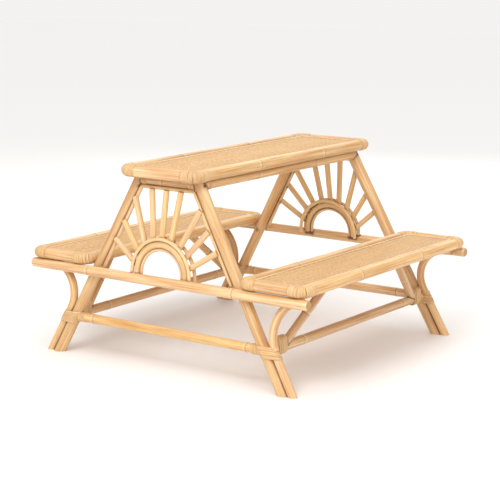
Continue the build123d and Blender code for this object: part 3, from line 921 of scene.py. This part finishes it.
def border_path(half_run, half_cross):
    """Along X at y = half_cross, with half of the bend at each end."""
    turn_x = half_run - CORNER_RADIUS
    turn_y = half_cross - CORNER_RADIUS
    bend = math.pi / 4 + BEND_OVERLAP
    points = arc((-turn_x, turn_y), CORNER_RADIUS, math.pi / 2 + bend, -bend, 8)
    return points + arc((turn_x, turn_y), CORNER_RADIUS, math.pi / 2, -bend, 8)


def corner_path(half_run, half_cross):
    """Round one corner, with a short straight run on each side."""
    turn_x = half_run - CORNER_RADIUS
    turn_y = half_cross - CORNER_RADIUS
    points = [(turn_x - CORNER_RUN, half_cross)]
    points += arc((turn_x, turn_y), CORNER_RADIUS, math.pi / 2, -math.pi / 2, 16)
    return points + [(half_run, turn_y - CORNER_RUN)]


def turned(points, degrees, centre_y, height, flip=1):
    """Flat points turned about the panel's middle and laid at a height."""
    spin = Matrix.Rotation(math.radians(degrees), 2)
    laid = [spin @ Vector((flip * x, y)) for x, y in points]
    return [(x, y + centre_y, height) for x, y in laid]


def panel_sizes(panel, diameter):
    """Half length, half width, middle, pole height and pole size, read from the border nodes."""
    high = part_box(f"{panel}_border_left")[1]
    right_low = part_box(f"{panel}_border_right")[0]
    back_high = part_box(f"{panel}_border_back")[1]
    half_width = (high[1] - right_low[1]) / 2 - diameter / 2
    half_length = back_high[0] - diameter / 2
    return half_length, half_width, (high[1] + right_low[1]) / 2, high[2] - diameter / 2, diameter


panels = {}
for panel, diameter in (("table", TABLE_POLE), ("bench_left", BENCH_POLE), ("bench_right", BENCH_POLE)):
    panels[panel] = panel_sizes(panel, diameter)
    half_length, half_width, centre_y, height, _ = panels[panel]
    long_path = border_path(half_length, half_width)
    short_path = border_path(half_width, half_length)
    for side_name, path_points, degrees in (("left", long_path, 0), ("right", long_path, 180),
                                            ("front", short_path, 90), ("back", short_path, -90)):
        cane(f"{panel}_border_{side_name}", [turned(path_points, degrees, centre_y, height)], diameter,
             pitch=0.28, first=0.215, wander=0.0015, sides=24)
    print(panel, "border", [round(value, 4) for value in panels[panel]])


# %% [markdown]
# ## Wound corners and bindings
# The same peel tree dresses a corner with close turns, a leg and its bracket with broad turns round
# both, and a stretcher's end together with the brace's foot.

# %% Peel on the corners
def wound(node, jobs):
    """Winds peel along several paths as one piece. A job is a path and its settings."""
    joined = bmesh.new()
    for number, (line, settings) in enumerate(jobs):
        mesh = grown_mesh(f"{node}_part", peel_tree, [line], seed=made["pieces"] * 7 + number,
                          finish=peel_finish, **settings)
        joined.from_mesh(mesh)
        bpy.data.meshes.remove(mesh)
    mesh = bpy.data.meshes.new(f"{node}_peel")
    joined.to_mesh(mesh)
    joined.free()
    mesh.materials.append(peel_finish)
    finished(f"{node}_peel", mesh, node)


def strip_of(width, thickness, pitch, tilt):
    """The peel itself: its section, how close its turns lie and how unevenly."""
    return {"strip_width": width, "strip_thickness": thickness, "turn_pitch": pitch, "tilt": tilt}


def round_pole(diameter, slack, strip):
    """Settings for turns round one pole."""
    return {"near_radius": diameter / 2 + slack, "far_radius": diameter / 2 + slack, **strip}


LOOSE, TIGHT = 0.0004, 0.0003
corner_strip = strip_of(0.0046, 0.0012, 0.0022, 0.07)
for panel, (half_length, half_width, centre_y, height, diameter) in panels.items():
    corner = corner_path(half_length, half_width)
    settings = round_pole(diameter, TIGHT, corner_strip)
    jobs = [(turned(corner, degrees, centre_y, height, flip), settings)
            for flip in (1, -1) for degrees in (0, 180)]
    wound(f"{panel}_corner_wraps", jobs)
print("corner wraps:", made)

# %% Peel on the joints
BINDING_LOW, BINDING_RUN = 0.084, 0.027
RAIL_BINDING = (0.017, 0.026)
broad_strip = strip_of(0.0062, 0.0016, 0.0054, 0.03)
narrow_strip = strip_of(0.0036, 0.0014, 0.0034, 0.03)
# for each bar: its height, how far its turns run into and out of the leg, and their settings
bar_bindings = (
    (lower_bar_height, 0.004, 0.018, round_pole(BAR, LOOSE, broad_strip)),
    (top_bar_height, 0.002, 0.011, round_pole(TOP_BAR, TIGHT, narrow_strip)),
)
level_cut = math.cos(SPLAY)
leg_binding = {"near_radius": LEG / 2 / level_cut, "far_radius": BRACKET / 2 / level_cut,
               "spread": ((LEG + BRACKET) / 2 + BRACKET_GAP) / level_cut, **broad_strip}
for end, outside in (("front", -1), ("back", 1)):
    jobs = []
    for side in (1, -1):
        up_leg = Vector((0, -side * math.sin(SPLAY), math.cos(SPLAY)))
        start = Vector((0, side * leg_y(BINDING_LOW), BINDING_LOW))
        line = at_end([start, start + up_leg * BINDING_RUN], end)
        origin, outwards, upwards = at_end([(0, 0, 0), (0, side, 0), (0, 0, 1)], end)
        slant = upwards - origin - (line[1] - line[0]).normalized()
        jobs.append((line, {**leg_binding, "spread_axis": outwards - origin, "slant": slant}))
        for height, inside, run, settings in bar_bindings:
            joint_y = leg_y(height) - LEG / 2 / level_cut
            line = [(0, side * (joint_y + inside), height), (0, side * (joint_y - run), height)]
            jobs.append((at_end(line, end), settings))
        line = [(outside * (leg_x_high - gap), side * RAIL_Y, rail_height) for gap in RAIL_BINDING]
        jobs.append((line, round_pole(RAIL, LOOSE, narrow_strip)))
    wound(f"{end}_bindings", jobs)

TIE_RUN, TIE_DROP, TIE_MARGIN = 0.030, 0.003, 0.002
ACROSS_TIE = {"spread": 0.021, "spread_axis": (0, 0, 1)}
END_DISC_DEPTH = 0.001
round_both = {"near_radius": BAR / 2 + 0.0008, "far_radius": BRACE / 2 + 0.001, **ACROSS_TIE, **broad_strip}
end_disc = {"near_radius": BAR / 4, "far_radius": BAR / 4, **ACROSS_TIE,
            **strip_of(0.003, BAR / 2, END_DISC_DEPTH, 0.0)}
tie_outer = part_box("stretcher_ties")[1][0]
tie_height = lower_bar_height - TIE_DROP
jobs = []
for end_x in (-1, 1):
    for side in (1, -1):
        line = [(end_x * x, side * STRETCHER_Y, tie_height)
                for x in (tie_outer - TIE_MARGIN, tie_outer - TIE_RUN + TIE_MARGIN)]
        jobs.append((line, round_both))
        for reach in (0, TIE_RUN - TIE_MARGIN):
            start = Vector((end_x * (tie_outer - reach), side * STRETCHER_Y, tie_height))
            jobs.append(([start, start - Vector((end_x * END_DISC_DEPTH, 0, 0))], end_disc))
wound("stretcher_ties", jobs)
print("bindings:", made)


# %% [markdown]
# ## Fields and their edging
# Inside each border lies the woven field, and a half-round strip covers its edge. The strip is a closed
# ring, so it is lofted by hand: a half-oval section carried round a rectangle with small corners.

# %% Woven fields
STRIP_RISE, STRIP_BEND, STRIP_FOOT = 0.0042, 0.0065, 0.001
STRIP_TONE = 0.4


def strip_ring(name, half_length, half_width, centre_y, base):
    """A half-oval strip carried round a rectangle; half sizes are to its outer edge."""
    middle_x = half_length - STRIP_WIDTH / 2 - STRIP_BEND
    middle_y = half_width - STRIP_WIDTH / 2 - STRIP_BEND
    outline = []
    for corner_x, corner_y, start in ((1, 1, 0), (-1, 1, 1), (-1, -1, 2), (1, -1, 3)):
        for step in range(7):
            angle = (start + step / 6) * math.pi / 2
            outline.append((corner_x * middle_x, corner_y * middle_y, math.cos(angle), math.sin(angle)))
    half_turn = [math.pi * i / 10 for i in range(11)]
    section = [(STRIP_WIDTH / 2 * math.cos(a), STRIP_RISE * math.sin(a)) for a in half_turn]
    section += [(-STRIP_WIDTH / 2, -STRIP_FOOT), (STRIP_WIDTH / 2, -STRIP_FOOT)]
    points = []
    for x, y, out_x, out_y in outline:
        for across, up in section:
            reach = STRIP_BEND + across
            points.append((x + out_x * reach, y + out_y * reach + centre_y, base + up))
    count = len(section)
    faces = []
    for i in range(len(outline)):
        here, there = i * count, (i + 1) % len(outline) * count
        for j in range(count):
            k = (j + 1) % count
            faces.append((here + j, there + j, there + k, here + k))
    mesh = bpy.data.meshes.new(name)
    mesh.from_pydata(points, [], faces)
    for label in ("cane_along", "cane_tone", "weave_wave"):
        mesh.attributes.new(label, "FLOAT", "POINT")
    mesh.attributes.new("cane_ring", "FLOAT_VECTOR", "POINT")
    for index, point in enumerate(points):
        across, up = section[index % count]
        mesh.attributes["cane_along"].data[index].value = point[0] + point[1]
        mesh.attributes["cane_tone"].data[index].value = STRIP_TONE
        # Low at the strip's foot, where its finish paints shade.
        mesh.attributes["weave_wave"].data[index].value = 1.6 * up / STRIP_RISE - 1
        mesh.attributes["cane_ring"].data[index].vector = (across / STRIP_WIDTH * 2, up / STRIP_RISE, 0)
    mesh.materials.append(strip_finish)
    outward(mesh)
    return mesh


WEAVE_LIFT, TUCKED_IN = 0.0021, 0.004
stand_in = [(0, 0, 0), (0, 0, 0.001)]  # the tree draws its own strands and ignores the path
for panel, (half_length, half_width, centre_y, _, _) in panels.items():
    low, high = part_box(f"{panel}_weave")
    centre = ((low[0] + high[0]) / 2, centre_y, low[2] + WEAVE_LIFT)
    mesh = grown_mesh(
        f"{panel}_weave_strands", weave_tree, [stand_in], length=high[0] - low[0] + TUCKED_IN,
        width=high[1] - low[1] + TUCKED_IN, centre=centre, row_pitch=0.003, stake_pitch=0.0105,
        strand=0.0032, wave_height=0.0006, seed=made["pieces"], finish=weave_finish)
    finished(f"{panel}_weave_strands", mesh, f"{panel}_weave")
    strip = strip_ring(f"{panel}_edge_strip", half_length - STRIP_INSET, half_width - STRIP_INSET, centre_y,
                       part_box(f"{panel}_trim")[0][2] + STRIP_FOOT)
    finished(f"{panel}_edge_strip", strip, f"{panel}_trim")
    print(panel, "field", len(mesh.polygons), "faces")

# %% [markdown]
# ## Boards and screws
# The CAD boards and screws have the right shape already, so they only get a finish. The backing board
# is seen from below: thin plywood with faint long grain. The screws are dulled steel.

# %% Plywood and steel
board_finish, w, shader = blank_material("backing_plywood")
px, py, pz = w.split(w.add("ShaderNodeTexCoord").outputs["Object"])
grain = w.noise(w.vector(w.times(px, 5.0), w.times(py, 90.0), w.times(pz, 200.0)), 1.0, 5.0, 0.6)
marks = placed(w, wear_group, scale=9.0)
base = w.colour_mix(w.ramp(grain, 0.3, 2.2), colour("a9743f"), colour("d3a065"))
relief = w.get("ShaderNodeBump", {"Strength": 0.4, "Distance": 0.0004, "Height": grain})
w.put(shader["Base Color"], w.colour_mix(w.times(marks["Mottle"], 0.25), base, colour("8c5b2e")))
w.put(shader["Roughness"], w.plus(0.55, w.times(marks["Scuff"], 0.2)))
w.put(shader["Normal"], relief)

screw_finish, w, shader = blank_material("dulled_steel")
marks = placed(w, wear_group, scale=300.0)
w.put(shader["Base Color"], w.colour_mix(marks["Mottle"], colour("3a342e"), colour("6b6259")))
w.put(shader["Roughness"], w.plus(0.4, w.times(marks["Scuff"], 0.3)))
shader["Metallic"].default_value = 0.8

for node, node_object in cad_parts.items():
    if node.endswith("_board") or node == "frame_screws":
        node_object.data.materials.clear()
        node_object.data.materials.append(board_finish if node.endswith("_board") else screw_finish)

# %% Finish
print("made in all:", made)
